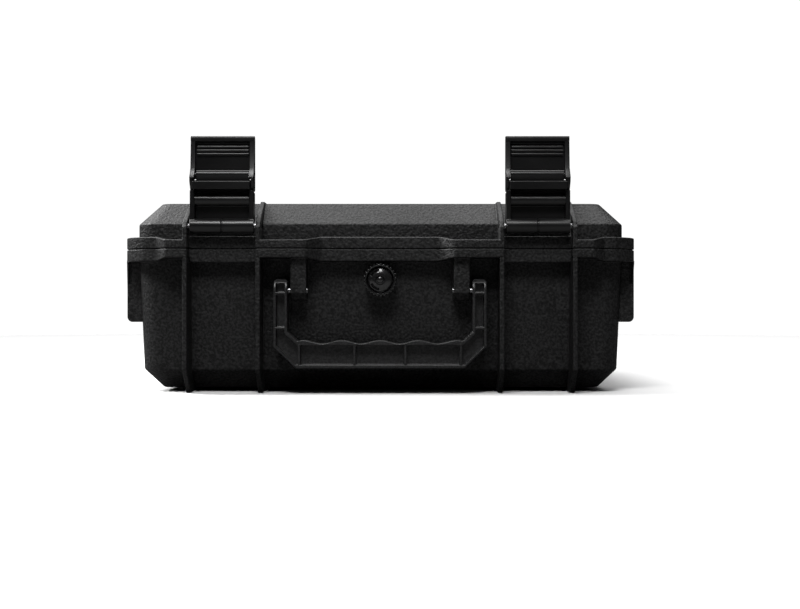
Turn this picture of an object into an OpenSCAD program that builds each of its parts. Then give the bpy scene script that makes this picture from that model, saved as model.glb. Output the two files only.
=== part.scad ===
// Hard carrying case for a folding camera drone, with two flip-up latches and a drop handle.
// X runs across the front, Y runs back to the hinges and Z is up.
// The origin is on the ground under the middle of the case. Lid shut, latches flipped up.

/* [Case] */
// Width across the rim
case_w = 340; // [285:1:420]
// Depth from the front ribs to the back ribs
case_d = 285; // [238:1:360]
// Height from the ground to the parting plane
base_h = 94.5; // [80:0.5:150]
// Height from the parting plane to the flat top of the lid
lid_h = 31.6; // [28:0.2:60]
// Thickness of the moulded walls
wall = 3.2; // [2.4:0.1:4.4]
// Radius of the upright corners of the shells
corner_r = 14; // [12:1:28]

/* [Shell details] */
// How far the rim stands out from the walls
rim_over = 8; // [7:0.5:12]
// How far the ribs stand out from the front and back walls
rib_depth = 17; // [16:0.5:22]
// Thickness of each rib
rib_t = 3; // [2:0.1:4]
// Taper of the base walls from the rim down to the bottom chamfer
draft = 3; // [0:0.1:5]
// Height of the feet under the base
foot_h = 2.5; // [1.5:0.1:5]
// Height of the chamfer around the bottom of the base
base_cham_h = 12.5; // [8:0.5:18]
// Height of the chamfer around the top of the lid
lid_cham_h = 14.6; // [10:0.2:16]
// Width of the base's chamfer
base_cham_w = 12; // [10:0.5:18]
// Width of the lid's chamfer
lid_cham_w = 14; // [10:0.5:18]
// Depth of the base rim below the parting plane
rim_lo = 7.9; // [6:0.1:12]
// Height of the lid rim above the parting plane
rim_hi = 8; // [6:0.1:12]
// How much thinner each half of the rim is beside the latches
rim_thin = 2.1; // [0:0.1:2.5]
// Open joint between the two rims
part_gap = 0.4; // [0.3:0.1:1]

/* [Latches] */
// Distance from the side of the rim to the middle of a latch
latch_inset = 67.2; // [62:0.1:75]
// Half of the clear width between two latch ribs
bay_half = 22.2; // [20:0.1:26]
// Clearance between a latch and its ribs, each side
latch_side = 1.4; // [0.6:0.1:2.5]
// Diameter of the steel pins in the latches' lid ears
latch_pin_d = 4; // [3:0.1:5]
// Diameter of the steel pins in the latch levers
lever_pin_d = 2.5; // [2:0.1:3]
// Distance from the lid pin to the lever pin
lever_pivot = 34; // [33:0.1:38]
// Distance from the lid pin to the tip of the lever
latch_len = 59; // [54:0.5:66]
// Angle that a latch turns from flipped up to shut
latch_swing = 180; // [172:1:180]

/* [Handle] */
// Distance from a latch rib to the handle
handle_gap = 8.4; // [6:0.1:14]
// Width of each handle arm
arm_w = 9; // [8:0.1:11]
// Thickness of the handle, front to back
handle_t = 13; // [12:0.1:13.5]
// Distance from the handle's pins to the bottom of the grip
handle_drop = 50.4; // [48:0.1:56]
// Depth of the front pockets
pocket_d = 5; // [2:0.1:5]
// Diameter of the handle's steel pins
handle_pin_d = 4; // [3:0.1:5]

/* [Valve] */
// Diameter of the pressure valve's knob
knob_d = 21.5; // [18:0.1:24]
// Height of the knob
knob_h = 7.5; // [6:0.1:8]
// Number of grip teeth around the knob
knob_teeth = 27; // [18:1:32]
// Diameter of the valve's stem
stem_d = 10; // [8:0.1:11]

/* [Hinges] */
// Diameter of the hinge pins
hinge_pin_d = 4; // [3:0.1:4.4]
// Width of the lid's hinge lug
lid_lug_w = 25; // [16:0.5:26]
// Width of each of the base's hinge lugs
base_lug_w = 8; // [5:0.5:8.5]

/* [Foam] */
// Thickness of the flat pad under the insert
pad_t = 10; // [6:0.5:14]
// Foam left around the outside of the pockets
foam_border = 22; // [16:1:26]
// Foam left between two pockets
foam_web = 16; // [12:1:20]
// Depth of the pockets
pocket_depth = 56; // [35:1:58]
// Width of the controller and battery pockets
side_pocket_w = 92; // [80:1:100]
// Depth of each battery pocket, front to back
battery_d = 38; // [30:1:42]

/* [Fits] */
// Radial clearance of a pin that is pressed in
fit_held = 0.02; // [0.01:0.01:0.03]
// Radial clearance of a pin that turns
fit_run = 0.08; // [0.05:0.01:0.1]
// Clearance between the foam and the shells
foam_fit = 0.6; // [0.3:0.1:1.5]

/* [Hidden] */

BLACK = [0.09, 0.09, 0.095];
SOFT_BLACK = [0.13, 0.13, 0.135];
GLOSS_BLACK = [0.05, 0.05, 0.055];
STEEL = [0.72, 0.73, 0.75];
RUBBER = [0.16, 0.16, 0.16];
FOAM = [0.22, 0.22, 0.23];

thin = 0.05;                            // a plate that only carries a hull's outline
front_y = -case_d / 2;                  // front faces of the ribs
body_w = case_w / 2 - rim_over;         // half width of the walls at the rim
body_d = case_d / 2 - rib_depth;        // half depth of the walls at the rim
rim_w = body_w + rim_over;              // half width of the rim
rim_d = body_d + rim_over;              // half depth of the rim
rim_r = corner_r + rim_over;
panel_y = -body_d;                      // front wall, at the rim
cham_z = foot_h + base_cham_h;          // top of the base's chamfer
lid_z0 = base_h + part_gap;             // underside of the lid's rim
lid_top = base_h + lid_h;
lid_cham_z = lid_top - lid_cham_h;
rail_h = 1.1;                           // ribs above the flat top of the lid
low_r = 8;                              // corner radius where a chamfer ends

// The rim swells out to the ribs and gets thinner beside them, along these stretches of X.
latch_x = case_w / 2 - latch_inset;
rib_x = bay_half + rib_t / 2;           // middle of a rib, from the middle of its latch
handle_w = latch_x - bay_half - rib_t - handle_gap;      // half width of the handle
arm_in = handle_w - arm_w;
swell_in = [handle_w - 32.2, handle_w - 19.2];
swell_out = [latch_x + rib_x + 11.5, latch_x + rib_x + 21.5];
swell_n = 8;                            // steps in each swelling

// Groove in the lid's rim, the seal in it and the ridge that presses the seal.
groove_off = 3.2;                       // middle of the groove, out from the wall
groove_half = 2.3;
groove_h = 3.6;
seal_h = 1.7;
seal_side = 0.1;
ridge_half = 1.1;
ridge_h = 1.8;

// Latch, drawn shut around its lid pin, with Y out of the case negative.
latch_y = front_y + 6;
latch_z = base_h + 14.8;
latch_w = 2 * (bay_half - latch_side);
barrel_r = latch_pin_d / 2 + 3;
parting_w = 1;                          // parting groove across the barrel
catch_lo = 8.9;                         // underside of the catch, below the parting plane
catch_hi = 8.5;                         // top of the lid's rim in the latch bay
bay_y = front_y + 9.5;                  // front of the rims in the latch bay
catch_r = 23.7;                         // the catch's underside, around the lid pin
catch_gap = 0.75;
claw_r = catch_r + catch_gap;           // the claw's hooking face, around the lid pin
claw_t = 5;
claw_tip = 6;                           // the claw's reach behind the lid pin
claw_fillet = 5;                        // in the corner between the claw and the link's web
link_wall = 3;
link_out = -5;                          // outer face of the link
link_bar_r = 3.9;                       // round bar across the link, which stiffens it
link_bar_y = -1.2;
link_bar_z = 17;                        // its distance from the lid pin
lever_out = -6;                         // outer face of the lever
link_web = 2.4;
lever_wall = 3;
lever_web = 2.4;
heel_wall = 1.8;                        // the lever's walls beside the claw
heel_h = 11.2;                          // their reach past the lever pin
pivot_y = -3;                           // lever pin, out from the lid pin
heel_r = norm([3.3, heel_h]);
knuckle_r = lever_pin_d / 2 + 1.25;
lever_boss_r = lever_pin_d / 2 + 1.9;
knuckle_gap = 0.4;                      // between the link and the lever
claw_w = latch_w - 2 * (heel_wall + knuckle_gap);

// Handle pins, in the brackets under the rim.
grip_y = front_y + 1.5;                 // front face of the handle
hang_y = front_y + 9.2;
hang_z = base_h - 27.2;
arm_top_r = hang_y - grip_y;            // rounded top of each arm
arm_play = 1.7;                         // between an arm and its bracket
bracket_t = 10.4;
grip_low = hang_z - handle_drop;
grip_edge = 2.3;                        // walls around the pockets
grip_h = 17.1;                          // bottom of the grip to the middle of its wavy top
wave_h = 1.1;
wave_l = 25;                            // one finger
corner_w = 14.6;                        // slanted corners of the handle
corner_h = 14;
pocket_rib = 1.6;

// Pressure valve through the front wall.
valve_z = base_h - 20.1;
boss_r = 10.6;
boss_out = panel_y - 0.6;               // flat face outside
boss_in = panel_y + wall + 2.2;         // flat face inside
flange_t = 1.4;
seal_t = 0.9;
spigot_r = stem_d / 2 - 1.2;
knob_gap = 0.3;
knob_y = boss_out - seal_t - flange_t - knob_gap;        // back of the knob
nut_t = 4;
nut_af = stem_d + 7;

// Hinges, behind the rim.
hinge_y = rim_d + 4.5;
hinge_z = base_h + part_gap / 2;
hinge_r = 4;
lug_gap = 0.4;

// Strap brackets on both sides.
strap_front = front_y + 29;
strap_l = 48;
strap_low = base_h - 47.9;
strap_web = 4;
strap_bar = 4;
strap_top = base_h - 22.9;              // top of the outer bar
strap_out = rim_w;

// Foam.
foam_floor = foot_h + wall;
pad_top = foam_floor + foam_fit / 2 + pad_t;
foam_top = base_h - 4.5;
pocket_r = 9;
lid_foam_z = base_h + 3.5;

function ease(v) = (1 - cos(180 * max(0, min(1, v)))) / 2;
function along(v, range) = ease((v - range[0]) / (range[1] - range[0]));
// 1 beside the latches, 0 in the middle and at the corners
function swell(x) = along(abs(x), swell_in) - along(abs(x), swell_out);
function steps(range) = [for (i = [0:swell_n]) range[0] + (range[1] - range[0]) * i / swell_n];
half_xs = concat(steps(swell_in), steps(swell_out));
rim_xs = concat([for (i = [len(half_xs) - 1:-1:0]) -half_xs[i]], half_xs);

// ---- Shapes that repeat ----

module both_sides() {
    children();
    mirror([1, 0, 0]) children();
}

// A rectangle with round corners
module rounded(hw, hd, r, fn = 64) {
    square([2 * (hw - r), 2 * hd], center = true);
    square([2 * hw, 2 * (hd - r)], center = true);
    for (sx = [-1, 1], sy = [-1, 1])
        translate([sx * (hw - r), sy * (hd - r)]) circle(r, $fn = fn);
}

module slab(hw, hd, r, z0, z1, fn = 64)
    translate([0, 0, z0]) linear_extrude(z1 - z0) rounded(hw, hd, r, fn);

// An outline drawn in Y and Z, made w wide across X
module along_x(w) rotate([90, 0, 90]) linear_extrude(w, center = true) children();

// An outline drawn in X and Z, from y0 back to y1
module along_y(y0, y1) translate([0, y1, 0]) rotate([90, 0, 0]) linear_extrude(y1 - y0) children();

module rod_x(r, w) rotate([0, 90, 0]) cylinder(r = r, h = w, center = true, $fn = 48);

module rod_y(r, y0, y1, fn = 64)
    translate([0, y1, 0]) rotate([90, 0, 0]) cylinder(r = r, h = y1 - y0, $fn = fn);

// A ring of the seal's path, this far to each side of its middle
module seal_ring(half) {
    off = groove_off;
    difference() {
        rounded(body_w + off + half, body_d + off + half, corner_r + off + half);
        rounded(body_w + off - half, body_d + off - half, corner_r + off - half);
    }
}

// ---- Shells ----

// Outline of the rim from above
module rim_plan() {
    difference() {
        union() {
            rounded(rim_w, rim_d, rim_r);
            polygon(concat([for (x = rim_xs) [x, -rim_d + swell(x) * (front_y + rim_d)]],
                           [[swell_out[1], 0], [-swell_out[1], 0]]));
        }
        for (s = [-1, 1]) translate([s * latch_x - bay_half, front_y - 1])
            square([2 * bay_half, bay_y - front_y + 1]);
    }
}

// Front view of one half of the rim: edge is its depth, flat is the parting face
module rim_front(flat, edge) {
    dir = sign(edge);
    polygon(concat([[-rim_w - 1, flat + edge]],
                   [for (x = rim_xs) [x, flat + edge - dir * swell(x) * rim_thin]],
                   [[rim_w + 1, flat + edge], [rim_w + 1, flat], [-rim_w - 1, flat]]));
}

module rim_half(flat, edge) {
    low = min(flat, flat + edge);
    intersection() {
        translate([0, 0, low]) linear_extrude(abs(edge)) rim_plan();
        along_y(-case_d, case_d) rim_front(flat, edge);
    }
}

module at_ribs() for (s = [-1, 1], k = [-1, 1])
    translate([s * latch_x + k * rib_x, 0, 0]) along_x(rib_t) children();

// Walls and rim of the base, which the ribs and strap brackets stand on
module base_body() {
    base_outer();
    rim_half(base_h, -rim_lo);
}

module base_outer() hull() {
    slab(body_w, body_d, corner_r, base_h - thin, base_h);
    slab(body_w - draft, body_d - draft, corner_r, cham_z, cham_z + thin);
    slab(body_w - draft - base_cham_w, body_d - draft - base_cham_w, low_r, foot_h, foot_h + thin);
}

module base_inner() hull() {
    inset = draft + wall;
    slab(body_w - wall, body_d - wall, corner_r - wall, base_h, base_h + 5);
    slab(body_w - inset, body_d - inset, corner_r - wall, cham_z, cham_z + thin);
    slab(body_w - draft - base_cham_w, body_d - draft - base_cham_w, low_r - 2,
         foam_floor, foam_floor + thin);
}

// One rib of the base, from the front rim under the base to the back rim
module base_rib_side() {
    slant = [15, 16];
    back = -front_y;
    polygon([[front_y, base_h], [front_y, slant[1]], [front_y + slant[0], 0],
             [back - slant[0], 0], [back, slant[1]], [back, hinge_z - 11],
             [hinge_y, hinge_z - 7], [rim_d, hinge_z - 7], [rim_d, base_h]]);
}

module base_lug_side() {
    circle_at_hinge(hinge_r);
    polygon([[body_d - 1, hinge_z - 20], [hinge_y + 3.2, hinge_z - 8], [hinge_y + hinge_r, hinge_z],
             [hinge_y, hinge_z], [rim_d - 1, base_h - 0.3], [body_d - 1, base_h - 0.3]]);
}

module circle_at_hinge(r) translate([hinge_y, hinge_z]) circle(r, $fn = 48);

// Bracket that carries one of the handle's pins
module handle_bracket() {
    middle = arm_in - arm_play - bracket_t / 2;
    translate([middle, 0, 0]) along_x(bracket_t)
        polygon([[panel_y + 1, base_h - 4], [hang_y - 5.2, base_h - 4], [hang_y - 5.2, hang_z - 1.3],
                 [hang_y - 0.7, hang_z - 6.3], [panel_y + draft, hang_z - 6.3]]);
}

// Strap bracket: two webs and an outer bar, with a window above the bar
module strap_bracket_shape() {
    low_round = 3.5;
    wall_in = body_w - draft - 2;
    for (y = [strap_front, strap_front + strap_l - strap_web])
        difference() {
            along_y(y, y + strap_web) {
                translate([wall_in, strap_low + low_round])
                    square([strap_out - wall_in, base_h - rim_lo - strap_low - low_round + 1]);
                translate([wall_in, strap_low])
                    square([strap_out - low_round - wall_in, low_round + 1]);
                translate([strap_out - low_round, strap_low + low_round])
                    circle(low_round, $fn = 48);
            }
            translate([strap_out - 3.2, y - 1, strap_top]) cube([2.1, 3, base_h - rim_lo - strap_top]);
        }
    translate([strap_out - strap_bar, strap_front, strap_low + low_round])
        cube([strap_bar, strap_l, strap_top - strap_low - low_round]);
}

module base_shell() color(BLACK) difference() {
    union() {
        base_body();
        for (s = [-1, 1]) translate([s * latch_x - bay_half, bay_y, base_h - catch_lo])
            cube([2 * bay_half, panel_y - bay_y + 1, catch_lo]);
        for (s = [-1, 1], k = [-1, 1])
            translate([s * latch_x + k * (lid_lug_w / 2 + lug_gap + base_lug_w / 2), 0, 0])
                along_x(base_lug_w) base_lug_side();
        both_sides() handle_bracket();
        translate([0, 0, valve_z]) rod_y(boss_r, boss_out, panel_y + wall);
        translate([0, 0, base_h]) linear_extrude(ridge_h) seal_ring(ridge_half);
    }
    difference() {
        base_inner();
        translate([0, 0, valve_z]) rod_y(boss_r, panel_y, boss_in);
    }
    translate([0, 0, valve_z]) rod_y(stem_d / 2 + fit_run, front_y, boss_in + 5);
    // room for the claws behind the catches
    for (s = [-1, 1]) translate([s * latch_x, 0, 0]) intersection() {
        translate([0, latch_y, latch_z]) difference() {
            rod_x(catch_r + claw_t + 3, 2 * bay_half);
            rod_x(catch_r, 2 * bay_half + 2);
        }
        translate([-bay_half, front_y - 1, 0])
            cube([2 * bay_half, panel_y - 0.4 - front_y + 1, base_h - 2]);
    }
    for (s = [-1, 1]) translate([s * latch_x, hinge_y, hinge_z])
        rod_x(hinge_pin_d / 2 + fit_held, 2 * rib_x);
    both_sides() translate([arm_in - bracket_t / 2, hang_y, hang_z])
        rod_x(handle_pin_d / 2 + fit_held, bracket_t + 6);
}

// One rib of the base, on one side of a latch
module base_rib(side, k) color(BLACK) difference() {
    translate([side * latch_x + k * rib_x, 0, 0]) along_x(rib_t) base_rib_side();
    base_body();
}

module base_rib_left_outer() base_rib(-1, -1);
module base_rib_left_inner() base_rib(-1, 1);
module base_rib_right_inner() base_rib(1, -1);
module base_rib_right_outer() base_rib(1, 1);

module strap_bracket_right() color(BLACK) difference() {
    strap_bracket_shape();
    base_body();
}

module strap_bracket_left() mirror([1, 0, 0]) strap_bracket_right();

module lid_outer() hull() {
    slab(body_w, body_d, corner_r, lid_z0, lid_cham_z);
    slab(body_w - lid_cham_w, body_d - lid_cham_w, low_r, lid_top - thin, lid_top);
}

module lid_inner() hull() {
    slab(body_w - wall, body_d - wall, corner_r - wall, lid_z0 - 1, lid_cham_z - 1);
    low = lid_cham_w + 1.5;
    slab(body_w - low, body_d - low, low_r - 2, lid_top - wall - thin, lid_top - wall);
}

// One rib of the lid, with the ear for the latch pin at its front
module lid_rib_side() {
    back = -front_y;
    ear = latch_z;
    step = [lid_cham_w + rib_depth - 2, lid_top + rail_h];
    polygon([[front_y, lid_z0], [front_y, ear - 0.5], [front_y + 2, ear + 1.1],
             [front_y + 2.9, ear + 3.2], [front_y + 13.5, lid_cham_z + 7.5],
             [front_y + step[0], step[1]], [back - step[0], step[1]],
             [back - 13.5, lid_cham_z + 7.5], [back - 2.9, ear + 3.2], [back, ear - 0.5],
             [back, hinge_z + 9], [rim_d, hinge_z + 9], [rim_d, lid_z0]]);
}

module lid_lug_side() {
    circle_at_hinge(hinge_r);
    polygon([[body_d - 1, hinge_z + 15], [hinge_y + 2.5, hinge_z + 5], [hinge_y + hinge_r, hinge_z],
             [hinge_y, hinge_z], [rim_d - 1, lid_z0 + 0.1], [body_d - 1, lid_z0 + 0.1]]);
}

module lid_shell() color(BLACK) difference() {
    union() {
        lid_outer();
        rim_half(lid_z0, rim_hi - part_gap);
        at_ribs() lid_rib_side();
        for (s = [-1, 1]) {
            translate([s * latch_x - bay_half, bay_y, lid_z0])
                cube([2 * bay_half, panel_y - bay_y + 1, catch_hi - part_gap]);
            translate([s * latch_x, 0, 0]) along_x(lid_lug_w) lid_lug_side();
        }
    }
    lid_inner();
    translate([0, 0, lid_z0 - 1]) linear_extrude(groove_h + 1) seal_ring(groove_half);
    for (s = [-1, 1]) {
        translate([s * latch_x, latch_y, latch_z])
            rod_x(latch_pin_d / 2 + fit_held, 2 * (bay_half + rib_t) + 2);
        translate([s * latch_x, hinge_y, hinge_z])
            rod_x(hinge_pin_d / 2 + fit_run, lid_lug_w + 2);
    }
}

module lid_seal() color(RUBBER) translate([0, 0, lid_z0 + groove_h - seal_h])
    linear_extrude(seal_h) seal_ring(groove_half - seal_side);

module hinge_pin(side) color(STEEL) translate([side * latch_x, hinge_y, hinge_z])
    rod_x(hinge_pin_d / 2, lid_lug_w + 2 * (lug_gap + base_lug_w) - 0.6);

module hinge_pin_left() hinge_pin(-1);
module hinge_pin_right() hinge_pin(1);

// ---- Latches ----

// Turns a shut latch up over its lid pin
module flipped_up(side) translate([side * latch_x, latch_y, latch_z])
    rotate([latch_swing, 0, 0]) children();

module at_pivot() translate([pivot_y, -lever_pivot]) children();

// Side view of the claw: a slice of a ring around the lid pin
module claw_side() intersection() {
    difference() {
        circle(claw_r + claw_t, $fn = 96);
        circle(claw_r, $fn = 96);
    }
    translate([link_out, -claw_r - claw_t - 1]) square([claw_tip - link_out, 2 * claw_t + 2]);
}

// Web, fillet and claw of the link
module link_middle_side() {
    inner = link_out + link_web;
    plate = lever_pivot - lever_boss_r - knuckle_gap;
    claw_side();
    translate([link_out, -plate]) square([link_web, plate]);
    difference() {
        translate([inner - 0.5, -claw_r - 0.5]) square([claw_fillet + 0.5, claw_fillet + 0.5]);
        translate([inner + claw_fillet, -claw_r + claw_fillet]) circle(claw_fillet, $fn = 48);
    }
}

// Side walls of the link, which end where the lever's walls turn past them
module link_wall_side() difference() {
    reach = claw_r + claw_t - 0.6;
    polygon([[link_out, 0], [2.8, -3], [2.8, -claw_r - 1], [link_out, -reach]]);
    at_pivot() circle(heel_r + knuckle_gap, $fn = 96);
}

module link_shape() {
    knuckle_w = latch_w - 2 * (lever_wall + knuckle_gap);
    inner_wall = link_wall - heel_wall - knuckle_gap;
    difference() {
        union() {
            rod_x(barrel_r, latch_w);
            along_x(claw_w) link_middle_side();
            translate([0, link_bar_y, -link_bar_z]) rod_x(link_bar_r, latch_w - 1);
            for (s = [-1, 1]) translate([s * (latch_w - link_wall) / 2, 0, 0])
                along_x(link_wall) link_wall_side();
            for (s = [-1, 1]) translate([s * (claw_w - inner_wall) / 2, 0, 0]) along_x(inner_wall)
                polygon([[link_out, 0], [2.8, -3], [2.8, -claw_r - 1], [link_out, -claw_r - 1]]);
            along_x(knuckle_w) {
                at_pivot() circle(knuckle_r, $fn = 48);
                polygon([[link_out, -claw_r], [link_out + link_web, -claw_r],
                         [pivot_y + knuckle_r, -lever_pivot], [link_out, -lever_pivot]]);
            }
        }
        // parting groove around the middle of the barrel
        difference() {
            rod_x(barrel_r + 1, parting_w);
            rod_x(barrel_r - 0.4, 2 * parting_w);
            translate([-parting_w, link_out - 3, -2 * barrel_r])
                cube([2 * parting_w, 3 - link_out - 1.5, 4 * barrel_r]);
        }
        rod_x(latch_pin_d / 2 + fit_run, latch_w + 2);
        translate([0, pivot_y, -lever_pivot]) rod_x(lever_pin_d / 2 + fit_held, latch_w);
    }
}

module lever_wall_side() {
    tip = -latch_len;
    heel = -lever_pivot + lever_boss_r;
    at_pivot() circle(lever_boss_r, $fn = 48);
    polygon([[lever_out, -lever_pivot], [lever_out, tip + 2], [lever_out + 1, tip],
             [lever_out + 4.6, tip], [lever_out + 5, tip + 5], [0.4, -lever_pivot - 4.2],
             [5, heel - 0.6], [4.4, heel], [pivot_y, heel], [pivot_y - 0.5, -lever_pivot]]);
}

// The lever's walls beside the claw: they turn inside heel_r around the lever pin
module lever_heel_side() {
    top = -lever_pivot + heel_h;
    polygon([[lever_out, -lever_pivot - 4], [lever_out, top - 1.5], [lever_out + 1.5, top],
             [pivot_y + 3.3, top], [4.4, -lever_pivot + 5.2], [4.4, -lever_pivot + 2],
             [0.4, -lever_pivot - 4]]);
}

module lever_shape() {
    tip = -latch_len;
    web_top = lever_pivot + knuckle_r + knuckle_gap;
    ridge_r = 1;
    difference() {
        union() {
            for (s = [-1, 1]) translate([s * (latch_w - lever_wall) / 2, 0, 0])
                along_x(lever_wall) lever_wall_side();
            for (s = [-1, 1]) translate([s * (latch_w - heel_wall) / 2, 0, 0])
                along_x(heel_wall) lever_heel_side();
            along_x(latch_w) translate([lever_out, tip + 2]) square([lever_web, latch_len - web_top - 2]);
            along_x(latch_w)
                polygon([[lever_out, tip + 4], [lever_out, tip + 2], [lever_out + 1, tip],
                         [lever_out + 4.6, tip], [lever_out + 5.2, tip + 1], [lever_out + 5.2, tip + 3.2],
                         [lever_out + lever_web, tip + 4.4]]);
            for (k = [6.9, 9.3, 11.7]) along_x(latch_w - 8)
                translate([lever_out + lever_web + 0.2, tip + k]) circle(ridge_r, $fn = 24);
        }
        translate([0, pivot_y, -lever_pivot]) rod_x(lever_pin_d / 2 + fit_run, latch_w + 2);
    }
}

module latch_link_left() color(SOFT_BLACK) flipped_up(-1) link_shape();
module latch_link_right() color(SOFT_BLACK) flipped_up(1) link_shape();
module latch_lever_left() color(SOFT_BLACK) flipped_up(-1) lever_shape();
module latch_lever_right() color(SOFT_BLACK) flipped_up(1) lever_shape();

module latch_pin(side) color(STEEL) translate([side * latch_x, latch_y, latch_z])
    rod_x(latch_pin_d / 2, 2 * (bay_half + rib_t) - 0.6);

module latch_pin_left() latch_pin(-1);
module latch_pin_right() latch_pin(1);

module lever_pin(side) color(STEEL) flipped_up(side) translate([0, pivot_y, -lever_pivot])
    rod_x(lever_pin_d / 2, latch_w - 0.6);

module lever_pin_left() lever_pin(-1);
module lever_pin_right() lever_pin(1);

// ---- Handle ----

// Front view of the handle without its pockets
module handle_front() {
    top = hang_z + arm_top_r;
    tip = 1.6;                          // small chamfer on top of each arm
    grip_top = grip_low + grip_h;
    inner = handle_w - 16.5;            // where the slanted corners meet the grip
    difference() {
        polygon([[handle_w - tip, top], [handle_w, top - tip], [handle_w, grip_low + corner_h],
                 [handle_w - corner_w, grip_low], [-handle_w + corner_w, grip_low],
                 [-handle_w, grip_low + corner_h], [-handle_w, top - tip], [-handle_w + tip, top]]);
        polygon(concat([[arm_in - tip, top + 1], [arm_in, top - tip], [arm_in, grip_top + 6.7],
                        [inner + 1, grip_top + 0.6]],
                       [for (x = [inner:-1.25:-inner]) [x, grip_top + wave_h * cos(360 * x / wave_l)]],
                       [[-inner - 1, grip_top + 0.6], [-arm_in, grip_top + 6.7],
                        [-arm_in, top - tip], [-arm_in + tip, top + 1]]));
        both_sides() polygon([[arm_in - 1, top + 1], [arm_in - 1, top - tip - 1], [arm_in, top - tip],
                              [arm_in + tip, top], [arm_in + tip, top + 1]]);
    }
}

// One side's pockets, from the corner of the grip up the arm
module arm_pockets(upper) {
    rib_x0 = handle_w - 16.7 + pocket_rib / 2;
    low = grip_low + grip_edge;
    high = grip_low + grip_h - 2.2;
    x0 = arm_in + 1.8;
    x1 = handle_w - 1.8;
    rib_z = [hang_z - 24.4, hang_z - 1.7];
    half = pocket_rib / 2;
    polygon([[rib_x0, low], [rib_x0, high], [x0, high + 7.6], [x0, rib_z[0] - half],
             [x1, rib_z[0] - half], [x1, low + 12.2], [handle_w - corner_w + 0.4, low]]);
    translate([x0, rib_z[0] + half]) square([x1 - x0, rib_z[1] - rib_z[0] - pocket_rib]);
    if (upper) translate([x0, rib_z[1] + half]) square([x1 - x0, arm_top_r - 2]);
}

module grip_pockets() {
    low = grip_low + grip_edge;
    high = grip_low + grip_h - 2.2;
    outer = handle_w - 16.7 - pocket_rib / 2;
    inner = 16.5;
    translate([-inner + pocket_rib / 2, low]) square([2 * inner - pocket_rib, high - low]);
    both_sides() translate([inner + pocket_rib / 2, low])
        square([outer - inner - pocket_rib / 2, high - low]);
}

module handle() color(SOFT_BLACK) difference() {
    intersection() {
        along_y(grip_y, grip_y + handle_t) handle_front();
        along_x(2 * handle_w + 2) {
            translate([hang_y, hang_z]) circle(arm_top_r, $fn = 64);
            translate([grip_y - 1, grip_low - 1]) square([handle_t + 2, hang_z - grip_low + 1]);
        }
    }
    along_y(grip_y - 1, grip_y + pocket_d) {
        grip_pockets();
        both_sides() arm_pockets(true);
    }
    along_y(grip_y + handle_t - 4, grip_y + handle_t + 1) {
        grip_pockets();
        both_sides() arm_pockets(false);
    }
    both_sides() translate([arm_in + arm_w / 2, hang_y, hang_z])
        rod_x(handle_pin_d / 2 + fit_run, arm_w + 2);
}

module handle_pin(side) {
    inner = arm_in - arm_play - bracket_t - 0.8;
    outer = handle_w - 0.6;
    color(STEEL) translate([side * (inner + outer) / 2, hang_y, hang_z])
        rod_x(handle_pin_d / 2, outer - inner);
}

module handle_pin_left() handle_pin(-1);
module handle_pin_right() handle_pin(1);

// ---- Pressure valve ----

module valve_knob() color(GLOSS_BLACK) translate([0, 0, valve_z]) difference() {
    union() {
        rod_y(knob_d / 2, knob_y - knob_h + 2, knob_y);
        rod_y(knob_d / 2 - 2.1, knob_y - knob_h, knob_y);
    }
    for (i = [0:knob_teeth - 1]) rotate([0, i * 360 / knob_teeth, 0])
        translate([knob_d / 2 + 0.3, 0, 0]) rod_y(0.95, knob_y - knob_h - 1, knob_y + 1, 16);
    // ring groove, dished middle and the socket on the stem
    rod_y(knob_d / 2 - 3.4, knob_y - knob_h - 1, knob_y - knob_h + 0.7);
    rod_y(spigot_r + fit_run, knob_y - knob_h + 2.6, knob_y + 1);
}

module valve_body() color(BLACK) translate([0, 0, valve_z]) {
    rod_y(knob_d / 2 - 2.5, boss_out - seal_t - flange_t, boss_out - seal_t);
    rod_y(stem_d / 2, boss_out - seal_t, boss_in + nut_t + 2);
    rod_y(spigot_r, knob_y - knob_h + 3, boss_out);
}

module valve_seal() color(RUBBER) translate([0, 0, valve_z]) difference() {
    rod_y(knob_d / 2 - 2.6, boss_out - seal_t, boss_out);
    rod_y(stem_d / 2 + fit_run, boss_out - 2, boss_out + 1);
}

module valve_nut() color(BLACK) translate([0, 0, valve_z]) difference() {
    translate([0, boss_in + nut_t, 0]) rotate([90, 0, 0])
        cylinder(d = nut_af / cos(30), h = nut_t, $fn = 6);
    rod_y(stem_d / 2 + fit_run, boss_in - 1, boss_in + nut_t + 1);
}

// ---- Foam ----

module foam_base_pad() color(FOAM) hull() {
    low = draft + base_cham_w + foam_fit;
    up = draft + wall + foam_fit;
    slab(body_w - low - 2, body_d - low - 2, low_r - 3, foam_floor, foam_floor + thin);
    slab(body_w - up - 3, body_d - up - 3, corner_r - wall, pad_top - thin, pad_top, 32);
}

// A pocket with round corners, given by its left front corner and its size
module pocket(x, y, w, d, deep) translate([x + w / 2, y + d / 2, 0])
    slab(w / 2, d / 2, pocket_r, foam_top - deep, foam_top + 1);

// Pockets for the folded drone, its controller, three batteries and the charger
module foam_pockets() {
    up = draft + wall + foam_fit;
    left = -(body_w - up - foam_border);
    right = -left;
    near = -(body_d - up - foam_border);
    side_x = right - side_pocket_w;
    drone_w = side_x - foam_web - left;
    pitch = battery_d + foam_web;
    controller_d = -near - (near + 2 * pitch);
    pocket(left, near, drone_w, -2 * near - battery_d - foam_web, pocket_depth);
    for (i = [0, 1]) pocket(side_x, near + i * pitch, side_pocket_w, battery_d, pocket_depth - 12);
    pocket(side_x, near + 2 * pitch, side_pocket_w, controller_d, pocket_depth);
    pocket(left, -near - battery_d, (drone_w - foam_web) / 2, battery_d, pocket_depth - 12);
    pocket(left + (drone_w + foam_web) / 2, -near - battery_d, (drone_w - foam_web) / 2, battery_d,
           pocket_depth - 20);
}

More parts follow.
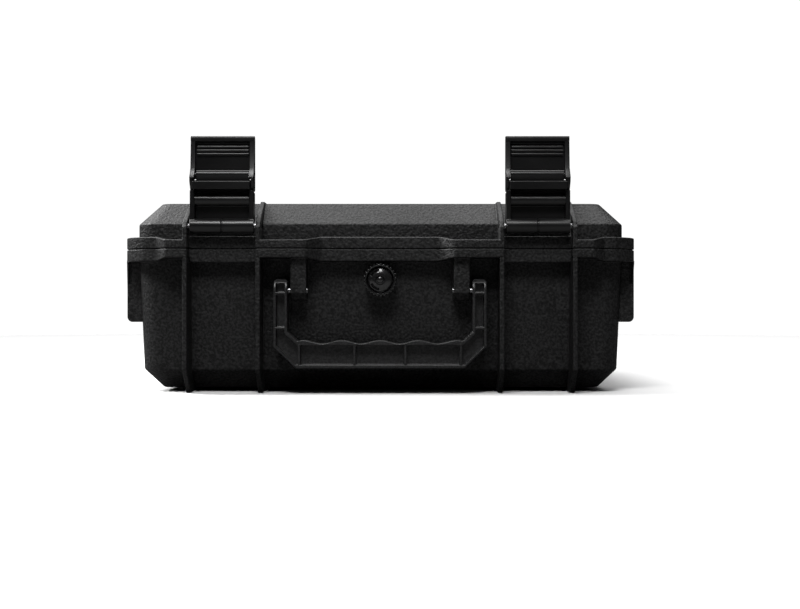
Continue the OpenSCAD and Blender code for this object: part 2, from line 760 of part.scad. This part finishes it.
module foam_insert() color(FOAM) difference() {
    low = draft + wall + foam_fit;
    up = wall + foam_fit;
    hull() {
        slab(body_w - low, body_d - low, corner_r - wall, pad_top, pad_top + thin, 32);
        slab(body_w - up, body_d - up, corner_r - wall, foam_top - thin, foam_top, 32);
    }
    foam_pockets();
    // room for the valve's nut
    room = boss_r + 1.5;
    translate([-room, panel_y, valve_z - room]) cube([2 * room, boss_in + nut_t + 4 - panel_y, foam_top]);
}

module foam_lid() color(FOAM) hull() {
    low = wall + foam_fit;
    up = lid_cham_w + 3 + foam_fit;
    slab(body_w - low, body_d - low, corner_r - wall, lid_foam_z, lid_foam_z + thin, 32);
    slab(body_w - low - 0.6, body_d - low - 0.6, corner_r - wall, lid_cham_z - 2, lid_cham_z - 2 + thin, 32);
    slab(body_w - up, body_d - up, low_r - 2, lid_top - wall - foam_fit / 2 - thin,
         lid_top - wall - foam_fit / 2, 32);
}

base_shell();
base_rib_left_outer();
base_rib_left_inner();
base_rib_right_inner();
base_rib_right_outer();
strap_bracket_left();
strap_bracket_right();
lid_shell();
lid_seal();
hinge_pin_left();
hinge_pin_right();
latch_link_left();
latch_link_right();
latch_lever_left();
latch_lever_right();
latch_pin_left();
latch_pin_right();
lever_pin_left();
lever_pin_right();
handle();
handle_pin_left();
handle_pin_right();
valve_knob();
valve_body();
valve_seal();
valve_nut();
foam_base_pad();
foam_insert();
foam_lid();
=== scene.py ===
import math

import bmesh
import bpy
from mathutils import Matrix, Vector


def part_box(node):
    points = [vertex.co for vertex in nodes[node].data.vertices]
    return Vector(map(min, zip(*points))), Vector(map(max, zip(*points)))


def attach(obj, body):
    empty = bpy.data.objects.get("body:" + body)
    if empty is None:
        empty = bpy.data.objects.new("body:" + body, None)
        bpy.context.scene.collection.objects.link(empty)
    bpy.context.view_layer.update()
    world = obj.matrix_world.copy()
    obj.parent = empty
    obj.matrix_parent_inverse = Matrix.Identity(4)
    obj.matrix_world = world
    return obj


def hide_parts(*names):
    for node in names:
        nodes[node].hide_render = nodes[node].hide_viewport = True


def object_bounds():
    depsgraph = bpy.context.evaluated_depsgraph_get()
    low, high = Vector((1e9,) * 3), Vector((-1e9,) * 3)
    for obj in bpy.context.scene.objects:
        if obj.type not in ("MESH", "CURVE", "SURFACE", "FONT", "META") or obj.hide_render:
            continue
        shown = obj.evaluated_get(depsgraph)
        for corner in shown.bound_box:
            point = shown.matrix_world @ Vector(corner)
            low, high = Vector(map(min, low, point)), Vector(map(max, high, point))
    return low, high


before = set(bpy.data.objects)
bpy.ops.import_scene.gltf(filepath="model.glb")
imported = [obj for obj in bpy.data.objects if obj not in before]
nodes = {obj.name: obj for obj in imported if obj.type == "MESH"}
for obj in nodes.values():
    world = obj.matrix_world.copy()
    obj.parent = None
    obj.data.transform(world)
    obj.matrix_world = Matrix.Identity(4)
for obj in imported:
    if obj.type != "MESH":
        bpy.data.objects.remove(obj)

cad_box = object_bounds()
MM = 0.001

# ---- Camera ----
# The case is seen level and square on from the front, from a little right of its middle.
# The eye is at the height of the handle's brackets, three quarters of a metre from the ribs.
case_front = cad_box[0].y
eye_distance = 760 * MM
eye_right = 13 * MM
eye_height = 58.3 * MM
camera_data = bpy.data.cameras.new("camera")
camera_data.lens = 52.9
camera_data.sensor_width = 36
camera = bpy.data.objects.new("camera", camera_data)
camera.location = (eye_right, case_front - eye_distance, eye_height)
camera.rotation_euler = (math.pi / 2, 0, 0)
bpy.context.scene.collection.objects.link(camera)
bpy.context.scene.camera = camera

# ---- Studio ----
# A round white table in a white room whose ceiling is dim except right overhead. One soft box
# stands high in front, one is low on the left, and a wide one lights the table from above.
bpy.context.scene.view_settings.view_transform = "Standard"


def grey(level):
    return (level, level, level, 1)


table_radius = 1.5
table_white = 0.94
table_bounce_white = 0.14               # what the table throws back at the case
bpy.ops.object.select_all(action="DESELECT")
bpy.ops.mesh.primitive_circle_add(vertices=128, radius=table_radius, fill_type="NGON",
                                  location=(0, 0, 0))
table = bpy.context.object
table.name = "white_table"
table_paint = bpy.data.materials.new("white_laminate")
table_paint.use_nodes = True
table_tree = table_paint.node_tree
table_tree.nodes.clear()
table_out = table_tree.nodes.new("ShaderNodeOutputMaterial")
table_mix = table_tree.nodes.new("ShaderNodeMixShader")
table_seen = table_tree.nodes.new("ShaderNodeBsdfDiffuse")
table_bounce = table_tree.nodes.new("ShaderNodeBsdfDiffuse")
table_ray = table_tree.nodes.new("ShaderNodeLightPath")
table_seen.inputs["Color"].default_value = grey(table_white)
table_bounce.inputs["Color"].default_value = grey(table_bounce_white)
table_tree.links.new(table_ray.outputs["Is Camera Ray"], table_mix.inputs["Fac"])
table_tree.links.new(table_bounce.outputs["BSDF"], table_mix.inputs[1])
table_tree.links.new(table_seen.outputs["BSDF"], table_mix.inputs[2])
table_tree.links.new(table_mix.outputs["Shader"], table_out.inputs["Surface"])
table.data.materials.append(table_paint)

backdrop_strength = 1.05
ceiling_edge, ceiling_edge_light = 0.25, 0.008
ceiling_middle, ceiling_middle_light = 0.7, 0.07
ceiling_top_light = 0.5
room = bpy.data.worlds.new("studio_room")
room.use_nodes = True
room_tree = room.node_tree
room_tree.nodes.clear()
room_out = room_tree.nodes.new("ShaderNodeOutputWorld")
seen_or_lit = room_tree.nodes.new("ShaderNodeMixShader")
ray_kind = room_tree.nodes.new("ShaderNodeLightPath")
backdrop = room_tree.nodes.new("ShaderNodeBackground")
ceiling = room_tree.nodes.new("ShaderNodeBackground")
backdrop.inputs["Color"].default_value = grey(1)
backdrop.inputs["Strength"].default_value = backdrop_strength
ceiling.inputs["Strength"].default_value = 1.0
direction = room_tree.nodes.new("ShaderNodeTexCoord")
height_of = room_tree.nodes.new("ShaderNodeSeparateXYZ")
brightness = room_tree.nodes.new("ShaderNodeValToRGB")
brightness.color_ramp.elements[0].position = ceiling_edge
brightness.color_ramp.elements[0].color = grey(ceiling_edge_light)
brightness.color_ramp.elements[1].position = 1.0
brightness.color_ramp.elements[1].color = grey(ceiling_top_light)
middle_stop = brightness.color_ramp.elements.new(ceiling_middle)
middle_stop.color = grey(ceiling_middle_light)
room_tree.links.new(direction.outputs["Generated"], height_of.inputs["Vector"])
room_tree.links.new(height_of.outputs["Z"], brightness.inputs["Fac"])
room_tree.links.new(brightness.outputs["Color"], ceiling.inputs["Color"])
room_tree.links.new(ray_kind.outputs["Is Camera Ray"], seen_or_lit.inputs["Fac"])
room_tree.links.new(ceiling.outputs["Background"], seen_or_lit.inputs[1])
room_tree.links.new(backdrop.outputs["Background"], seen_or_lit.inputs[2])
room_tree.links.new(seen_or_lit.outputs["Shader"], room_out.inputs["Surface"])
bpy.context.scene.world = room


def soft_box(name, place, aim, width, height, watts):
    """A rectangular lamp that faces the place it is aimed at."""
    lamp = bpy.data.lights.new(name, "AREA")
    lamp.shape = "RECTANGLE"
    lamp.size = width
    lamp.size_y = height
    lamp.energy = watts
    light = bpy.data.objects.new(name, lamp)
    light.location = place
    light.rotation_euler = (Vector(aim) - Vector(place)).to_track_quat("-Z", "Y").to_euler()
    bpy.context.scene.collection.objects.link(light)


soft_box("key_light", (-0.10, -0.85, 1.15), (0, -0.12, 0.06), 0.5, 0.4, 11)
soft_box("left_light", (-0.66, -0.02, 0.62), (-0.08, -0.08, 0.12), 0.35, 0.35, 11)
soft_box("table_light", (0, 0.9, 2.6), (0, 0.9, 0), 3.4, 2.4, 74)

# ---- Base shell with its ribs and strap brackets ----
# A tub of black structural plastic with a stippled surface, moulded in one: the rim, the
# ribs, the latch catches and the brackets all come out of the mould with the walls.
# Every edge leaves the mould with a small radius.
merge_within = 0.002 * MM
flat_within = math.radians(0.8)
parallel_within = 1e-14
fold_corners = 5                        # a fold takes in fewer corners than this
fold_radii = 3                          # and is shorter than so many edge radii
fold_sweeps = 3


def select_only(piece):
    bpy.ops.object.select_all(action="DESELECT")
    piece.select_set(True)
    bpy.context.view_layer.objects.active = piece


def clean_copy(node, name):
    """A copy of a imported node's mesh, with its triangles joined into whole faces."""
    piece = bpy.data.objects.new(name, nodes[node].data.copy())
    bpy.context.scene.collection.objects.link(piece)
    piece.data.materials.clear()
    select_only(piece)
    bpy.ops.object.mode_set(mode="EDIT")
    bpy.ops.mesh.select_all(action="SELECT")
    bpy.ops.mesh.remove_doubles(threshold=merge_within)
    bpy.ops.mesh.dissolve_limited(angle_limit=flat_within)
    bpy.ops.object.mode_set(mode="OBJECT")
    return piece


def crossing(a, b, c, d):
    """How far along the line a to b it crosses the line c to d in a plane, or None."""
    along, other, apart = b - a, d - c, c - a
    turn = along.cross(other)
    if abs(turn) < parallel_within:
        return None
    s, t = apart.cross(other) / turn, apart.cross(along) / turn
    return s if 0 < s < 1 and 0 < t < 1 else None


def folds_of(face, longest):
    """The short stretches of a face's outline that loop back over themselves."""
    corners = list(face.verts)
    count = len(corners)
    if count < 4:
        return []
    flat = max(range(3), key=lambda k: abs(face.normal[k]))
    u, v = [k for k in range(3) if k != flat]
    spots = [Vector((corner.co[u], corner.co[v])) for corner in corners]
    folds = []
    for i in range(count):
        after = (i + 1) % count
        for gap in range(2, min(fold_corners, count - 1)):
            j = (i + gap) % count
            place = crossing(spots[i], spots[after], spots[j], spots[(j + 1) % count])
            loop = [corners[(i + k) % count] for k in range(1, gap + 1)]
            length = sum((end.co - start.co).length for start, end in zip(loop, loop[1:]))
            if place is not None and length < longest:
                folds.append((loop, corners[i].co.lerp(corners[after].co, place)))
    return folds


def mend_folds(piece, longest):
    """Closes the small folds that appear where two rounded edges run into each other."""
    mesh = bmesh.new()
    mesh.from_mesh(piece.data)
    for sweep in range(fold_sweeps):
        folds = [fold for face in mesh.faces for fold in folds_of(face, longest)]
        used = set()
        for loop, middle in folds:
            if all(corner.is_valid and corner not in used for corner in loop):
                used.update(loop)
                bmesh.ops.pointmerge(mesh, verts=loop, merge_co=middle)
        if not folds:
            break
    mesh.to_mesh(piece.data)
    mesh.free()


def round_edges(piece, radius, steps, sharper_than=32):
    """Breaks every edge that is sharper than an angle, and smooths what is left."""
    select_only(piece)
    bevel = piece.modifiers.new("edge_radius", "BEVEL")
    bevel.width = radius
    bevel.segments = steps
    bevel.limit_method = "ANGLE"
    bevel.angle_limit = math.radians(sharper_than)
    bevel.use_clamp_overlap = False
    bpy.ops.object.modifier_apply(modifier=bevel.name)
    mend_folds(piece, fold_radii * radius)
    bpy.ops.object.shade_smooth_by_angle(angle=math.radians(sharper_than))
    even = piece.modifiers.new("flat_faces_stay_flat", "WEIGHTED_NORMAL")
    even.mode = "FACE_AREA"
    even.weight = 50
    even.keep_sharp = True
    bpy.ops.object.modifier_apply(modifier=even.name)


def finished(node, name, body, radius, steps, paint):
    """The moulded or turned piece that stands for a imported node."""
    piece = clean_copy(node, name)
    round_edges(piece, radius, steps)
    piece.data.materials.append(paint)
    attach(piece, body)
    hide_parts(node)


def new_paint(name):
    """A material with its node tree and its shader."""
    paint = bpy.data.materials.new(name)
    paint.use_nodes = True
    return paint, paint.node_tree, paint.node_tree.nodes["Principled BSDF"]


def object_pattern(tree, kind, scale, **settings):
    """A pattern in the piece's own space, so many to the metre."""
    place = tree.nodes.new("ShaderNodeTexCoord")
    pattern = tree.nodes.new(kind)
    pattern.inputs["Scale"].default_value = scale
    for key, value in settings.items():
        pattern.inputs[key].default_value = value
    tree.links.new(place.outputs["Object"], pattern.inputs["Vector"])
    return pattern


def ramp(tree, source, low, high, low_value, high_value):
    """Spreads the part of a pattern between low and high over two values."""
    spread = tree.nodes.new("ShaderNodeMapRange")
    spread.inputs["From Min"].default_value = low
    spread.inputs["From Max"].default_value = high
    spread.inputs["To Min"].default_value = low_value
    spread.inputs["To Max"].default_value = high_value
    tree.links.new(source, spread.inputs["Value"])
    return spread.outputs["Result"]


def bump(tree, shader, height, depth, strength, under=None):
    """Raises a pattern by a depth, over another bump if there is one."""
    node = tree.nodes.new("ShaderNodeBump")
    node.inputs["Distance"].default_value = depth
    node.inputs["Strength"].default_value = strength
    tree.links.new(height, node.inputs["Height"])
    if under is not None:
        tree.links.new(under.outputs["Normal"], node.inputs["Normal"])
    tree.links.new(node.outputs["Normal"], shader.inputs["Normal"])
    return node


def tint(tree, shader, factor, dark, light):
    """Colours a piece between dark and light by a pattern."""
    mix = tree.nodes.new("ShaderNodeMix")
    mix.data_type = "RGBA"
    mix.inputs["A"].default_value = (*dark, 1)
    mix.inputs["B"].default_value = (*light, 1)
    tree.links.new(factor, mix.inputs["Factor"])
    tree.links.new(mix.outputs["Result"], shader.inputs["Base Color"])


shell_paint, shell_tree, shell_shader = new_paint("stippled_black_plastic")
stipple = object_pattern(shell_tree, "ShaderNodeTexNoise", 640, Detail=2.0, Roughness=0.55)
pebbles = object_pattern(shell_tree, "ShaderNodeTexVoronoi", 500, Randomness=1.0)
shell_clouds = object_pattern(shell_tree, "ShaderNodeTexNoise", 14, Detail=3.0)
tint(shell_tree, shell_shader, ramp(shell_tree, stipple.outputs["Fac"], 0.42, 0.60, 0, 1),
     (0.0012, 0.0012, 0.0013), (0.0210, 0.0210, 0.0216))
shell_tree.links.new(ramp(shell_tree, shell_clouds.outputs["Fac"], 0.3, 0.7, 0.50, 0.60),
                     shell_shader.inputs["Roughness"])
shell_shader.inputs["Specular IOR Level"].default_value = 0.40
pebble_bump = bump(shell_tree, shell_shader, pebbles.outputs["Distance"], 0.35 * MM, 0.6)
bump(shell_tree, shell_shader, stipple.outputs["Fac"], 0.6 * MM, 0.8, under=pebble_bump)

shell_radius = 0.7 * MM
rib_radius = 0.55 * MM
bracket_radius = 0.35 * MM
finished("base_shell", "base_tub", "base", shell_radius, 3, shell_paint)
for rib in ("left_outer", "left_inner", "right_inner", "right_outer"):
    finished("base_rib_" + rib, "tub_rib_" + rib, "base", rib_radius, 3, shell_paint)
for side in ("left", "right"):
    finished("strap_bracket_" + side, "tub_strap_bracket_" + side, "base", bracket_radius, 3,
             shell_paint)

# ---- Lid shell ----
# The cover comes from the same stippled plastic, with a groove for the seal in its rim, and
# with ears at the ends of its ribs that carry the latch pins.
finished("lid_shell", "lid_cover", "lid", shell_radius, 3, shell_paint)

# ---- Seal ----
# A soft black rubber strip pressed into the lid's groove, with its lower edges rounded.
seal_paint, seal_tree, seal_shader = new_paint("black_rubber")
seal_grain = object_pattern(seal_tree, "ShaderNodeTexNoise", 1400, Detail=2.0)
tint(seal_tree, seal_shader, seal_grain.outputs["Fac"], (0.016, 0.016, 0.016), (0.030, 0.030, 0.030))
seal_tree.links.new(ramp(seal_tree, seal_grain.outputs["Fac"], 0.3, 0.7, 0.70, 0.82),
                    seal_shader.inputs["Roughness"])
bump(seal_tree, seal_shader, seal_grain.outputs["Fac"], 0.06 * MM, 0.6)
seal_radius = 0.6 * MM
finished("lid_seal", "rim_seal", "lid", seal_radius, 3, seal_paint)

# ---- Steel pins ----
# Ground steel pins with broken ends. Each is pressed into the plastic on one side of its
# joint and turns in the other.
pin_paint, pin_tree, pin_shader = new_paint("ground_steel")
pin_shader.inputs["Metallic"].default_value = 1.0
pin_lines = object_pattern(pin_tree, "ShaderNodeTexNoise", 900, Detail=2.0)
pin_place = pin_lines.inputs["Vector"].links[0].from_socket
pin_squeeze = pin_tree.nodes.new("ShaderNodeMapping")
pin_squeeze.inputs["Scale"].default_value = (4.0, 0.25, 0.25)
pin_tree.links.new(pin_place, pin_squeeze.inputs["Vector"])
pin_tree.links.new(pin_squeeze.outputs["Vector"], pin_lines.inputs["Vector"])
tint(pin_tree, pin_shader, pin_lines.outputs["Fac"], (0.22, 0.22, 0.225), (0.36, 0.36, 0.37))
pin_tree.links.new(ramp(pin_tree, pin_lines.outputs["Fac"], 0.3, 0.7, 0.22, 0.38),
                   pin_shader.inputs["Roughness"])
bump(pin_tree, pin_shader, pin_lines.outputs["Fac"], 0.02 * MM, 0.4)
pin_end = 0.4 * MM
thin_pin_end = 0.25 * MM
for side in ("left", "right"):
    for node, body, broken_end in (("hinge_pin_", "base", pin_end), ("latch_pin_", "lid", pin_end),
                                   ("lever_pin_", "link_" + side, thin_pin_end),
                                   ("handle_pin_", "base", pin_end)):
        finished(node + side, "steel_" + node + side, body, broken_end, 2, pin_paint)

# ---- Latches ----
# Each latch is a link that turns on the lid's pin and hooks under the catch, and a lever on
# the link's end that pulls it tight. Both are moulded in tough satin plastic.
latch_paint, latch_tree, latch_shader = new_paint("satin_black_plastic")
latch_grain = object_pattern(latch_tree, "ShaderNodeTexNoise", 1500, Detail=2.0)
latch_clouds = object_pattern(latch_tree, "ShaderNodeTexNoise", 30, Detail=3.0)
tint(latch_tree, latch_shader, latch_clouds.outputs["Fac"],
     (0.0055, 0.0055, 0.0058), (0.0100, 0.0100, 0.0104))
latch_tree.links.new(ramp(latch_tree, latch_clouds.outputs["Fac"], 0.3, 0.7, 0.28, 0.36),
                     latch_shader.inputs["Roughness"])
bump(latch_tree, latch_shader, latch_grain.outputs["Fac"], 0.08 * MM, 0.5)
link_radius = 0.35 * MM
lever_radius = 0.2 * MM                 # small, because the grip ridges stand close together
for side in ("left", "right"):
    finished("latch_link_" + side, "link_arm_" + side, "link_" + side, link_radius, 2,
             latch_paint)
    finished("latch_lever_" + side, "pull_lever_" + side, "lever_" + side, lever_radius, 2,
             latch_paint)

# ---- Handle ----
# A drop handle that hangs on two pins. It is moulded in tough, lightly grained plastic, with
# waves for four fingers, and cored out so that it cools evenly.
grip_paint, grip_tree, grip_shader = new_paint("grained_black_plastic")
grip_grain = object_pattern(grip_tree, "ShaderNodeTexNoise", 850, Detail=2.5)
grip_clouds = object_pattern(grip_tree, "ShaderNodeTexNoise", 25, Detail=3.0)
tint(grip_tree, grip_shader, ramp(grip_tree, grip_grain.outputs["Fac"], 0.35, 0.65, 0, 1),
     (0.011, 0.011, 0.0113), (0.036, 0.036, 0.0368))
grip_tree.links.new(ramp(grip_tree, grip_clouds.outputs["Fac"], 0.3, 0.7, 0.32, 0.42),
                    grip_shader.inputs["Roughness"])
bump(grip_tree, grip_shader, grip_grain.outputs["Fac"], 0.25 * MM, 0.6)
handle_radius = 0.55 * MM
finished("handle", "drop_handle", "handle", handle_radius, 3, grip_paint)

# ---- Pressure valve ----
# A glossy toothed knob over a plastic body that passes through the front wall. A rubber ring
# seals it outside and a nut holds it inside.
knob_paint, knob_tree, knob_shader = new_paint("gloss_black_plastic")
knob_clouds = object_pattern(knob_tree, "ShaderNodeTexNoise", 160, Detail=2.0)
tint(knob_tree, knob_shader, knob_clouds.outputs["Fac"],
     (0.010, 0.010, 0.0105), (0.018, 0.018, 0.0185))
knob_tree.links.new(ramp(knob_tree, knob_clouds.outputs["Fac"], 0.3, 0.7, 0.16, 0.24),
                    knob_shader.inputs["Roughness"])
knob_shader.inputs["Specular IOR Level"].default_value = 0.9
bump(knob_tree, knob_shader, knob_clouds.outputs["Fac"], 0.05 * MM, 0.3)

knob_low, knob_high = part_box("valve_knob")
knob_front, knob_back = knob_low.y, knob_high.y
knob_z = (knob_low.z + knob_high.z) / 2
knob_r = (knob_high.z - knob_low.z) / 2
knob_teeth = 27
faces_per_tooth = 4
tooth_h = 0.75 * MM
plain_r = knob_r - tooth_h              # between the teeth
square_on = 0.9                         # of a face that looks along the knob's axis
bpy.ops.object.select_all(action="DESELECT")
bpy.ops.mesh.primitive_cylinder_add(
    vertices=knob_teeth * faces_per_tooth, radius=plain_r, depth=knob_back - knob_front,
    end_fill_type="NGON", location=(0, (knob_front + knob_back) / 2, knob_z),
    rotation=(math.pi / 2, 0, 0))
knob = bpy.context.object
knob.name = "valve_cap"
bpy.ops.object.transform_apply(location=True, rotation=True, scale=True)
bpy.ops.object.mode_set(mode="EDIT")
bpy.ops.mesh.select_mode(type="FACE")


def pick_faces(piece, wanted):
    """Selects the faces whose middle and normal are wanted, and nothing else."""
    bpy.ops.mesh.select_all(action="DESELECT")
    mesh = bmesh.from_edit_mesh(piece.data)
    for face in mesh.faces:
        if wanted(face.calc_center_median(), face.normal):
            face.select = True
    bmesh.update_edit_mesh(piece.data)


def knob_angle(middle):
    """In degrees, from the right and against the clock."""
    return math.degrees(math.atan2(middle.z - knob_z, middle.x)) % 360


def knob_radius(middle):
    """The distance from the knob's axis."""
    return math.hypot(middle.x, middle.z - knob_z)


def on_tooth(middle, normal):
    step = 360 / (knob_teeth * faces_per_tooth)
    return abs(normal.y) < square_on and int(knob_angle(middle) / step) % faces_per_tooth in (1, 2)


pick_faces(knob, on_tooth)
bpy.ops.mesh.extrude_region_shrink_fatten(TRANSFORM_OT_shrink_fatten={"value": tooth_h})


def raise_selected(height):
    """Extrudes the selected faces towards the front, or back if the height is negative."""
    bpy.ops.mesh.extrude_region_move(TRANSFORM_OT_translate={"value": (0, -height, 0)})


# a groove inside the toothed ring, then the disc with a well and a small dome in its middle
ring_r = 9.1 * MM
disc_r = 8.0 * MM
slot_out = 6.9 * MM
slot_in = 5.5 * MM
lip_r = 4.7 * MM
well_r = 3.2 * MM
dome_r = 2.0 * MM
groove_depth = 1.6 * MM
well_depth = 1.5 * MM
dome_wall = 1.3 * MM
dome_rises = (0.20 * MM, 0.15 * MM, 0.10 * MM)
pick_faces(knob, lambda middle, normal: normal.y < -square_on and knob_radius(middle) < knob_r / 2)
bpy.ops.mesh.inset(thickness=plain_r - ring_r)
raise_selected(-groove_depth)
bpy.ops.mesh.inset(thickness=ring_r - disc_r)
raise_selected(groove_depth)
for outer, inner in ((disc_r, slot_out), (slot_out, slot_in), (slot_in, lip_r), (lip_r, well_r)):
    bpy.ops.mesh.inset(thickness=outer - inner)
raise_selected(-well_depth)
bpy.ops.mesh.inset(thickness=well_r - dome_r)
raise_selected(dome_wall)
for rise in dome_rises:
    bpy.ops.mesh.inset(thickness=dome_r / (len(dome_rises) + 1))
    bpy.ops.transform.translate(value=(0, -rise, 0))

# two curved slots on the left of the disc
slot_depth = 1.4 * MM
slot_arcs = ((98, 158), (204, 264))


def on_slot(middle, normal):
    in_arc = any(start < knob_angle(middle) < end for start, end in slot_arcs)
    return normal.y < -square_on and slot_in < knob_radius(middle) < slot_out and in_arc


pick_faces(knob, on_slot)
raise_selected(-slot_depth)

# the socket for the stem at the back
stem_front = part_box("valve_body")[0].y
socket_r = 4.0 * MM
socket_gap = 0.2 * MM
pick_faces(knob, lambda middle, normal: normal.y > square_on and knob_radius(middle) < knob_r / 2)
bpy.ops.mesh.inset(thickness=plain_r - socket_r)
raise_selected(knob_back - stem_front + socket_gap)
bpy.ops.object.mode_set(mode="OBJECT")

# the disc is domed, so that its rim lies a little behind its middle
disc_sag = 2.2 * MM
disc_skin = 2 * MM                      # what lies deeper stays where it is
disc_margin = 0.1 * MM
knob_edge = 0.22 * MM
for vertex in knob.data.vertices:
    r = knob_radius(vertex.co)
    if vertex.co.y < knob_front + disc_skin and r < disc_r + disc_margin:
        vertex.co.y += disc_sag * (r / disc_r) ** 2
round_edges(knob, knob_edge, 2, sharper_than=40)
knob.data.materials.append(knob_paint)
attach(knob, "valve_knob")
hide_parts("valve_knob")
stem_radius = 0.3 * MM
washer_radius = 0.2 * MM
finished("valve_body", "valve_stem", "base", stem_radius, 2, latch_paint)
finished("valve_nut", "valve_nut_ring", "base", stem_radius, 2, latch_paint)
finished("valve_seal", "valve_washer", "base", washer_radius, 2, seal_paint)

# ---- Foam ----
# Three pieces of charcoal open-cell foam: a flat pad, a block cut to the shape of the
# equipment, and an egg-crate sheet in the lid that holds it down.
foam_paint, foam_tree, foam_shader = new_paint("charcoal_foam")
foam_cells = object_pattern(foam_tree, "ShaderNodeTexVoronoi", 900, Randomness=1.0)
foam_clouds = object_pattern(foam_tree, "ShaderNodeTexNoise", 60, Detail=4.0)
tint(foam_tree, foam_shader, ramp(foam_tree, foam_cells.outputs["Distance"], 0.1, 0.7, 1, 0),
     (0.010, 0.010, 0.011), (0.050, 0.050, 0.052))
foam_tree.links.new(ramp(foam_tree, foam_clouds.outputs["Fac"], 0.3, 0.7, 0.90, 1.0),
                    foam_shader.inputs["Roughness"])
foam_shader.inputs["Specular IOR Level"].default_value = 0.15
bump(foam_tree, foam_shader, foam_cells.outputs["Distance"], 0.5 * MM, 0.8)


def foam_piece(node, name, body, cell, shape=None):
    """Foam cut with a blade: an even skin of small faces, moved by shape, with soft edges."""
    piece = clean_copy(node, name)
    remesh = piece.modifiers.new("even_skin", "REMESH")
    remesh.mode = "VOXEL"
    remesh.voxel_size = cell
    bpy.ops.object.modifier_apply(modifier=remesh.name)
    soften = piece.modifiers.new("soften", "SMOOTH")
    soften.iterations = 2
    bpy.ops.object.modifier_apply(modifier=soften.name)
    if shape is not None:
        normals = [vertex.normal.copy() for vertex in piece.data.vertices]
        for vertex, normal in zip(piece.data.vertices, normals):
            vertex.co = shape(vertex.co.copy(), normal)
    bpy.ops.object.shade_smooth()
    piece.data.materials.append(foam_paint)
    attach(piece, body)
    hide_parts(node)


fine_cell = 3 * MM
coarse_cell = 4 * MM                    # for the pad, which hides under the insert
foam_piece("foam_base_pad", "flat_foam_pad", "base", coarse_cell)
foam_piece("foam_insert", "cut_foam_insert", "base", fine_cell)

egg_pitch = 30 * MM
egg_depth = 9 * MM
lower_side = 2 * MM
faces_down = -0.6
lid_foam_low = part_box("foam_lid")[0].z


def egg_crate(place, normal):
    """Hollows the lower side between the eggs, deeper towards the middle of each hollow."""
    x, y, z = place
    if normal.z > faces_down or z > lid_foam_low + lower_side:
        return place
    wave = math.cos(2 * math.pi * x / egg_pitch) * math.cos(2 * math.pi * y / egg_pitch)
    return Vector((x, y, z + egg_depth * (0.5 - 0.5 * wave)))


foam_piece("foam_lid", "egg_crate_foam", "lid", fine_cell, shape=egg_crate)
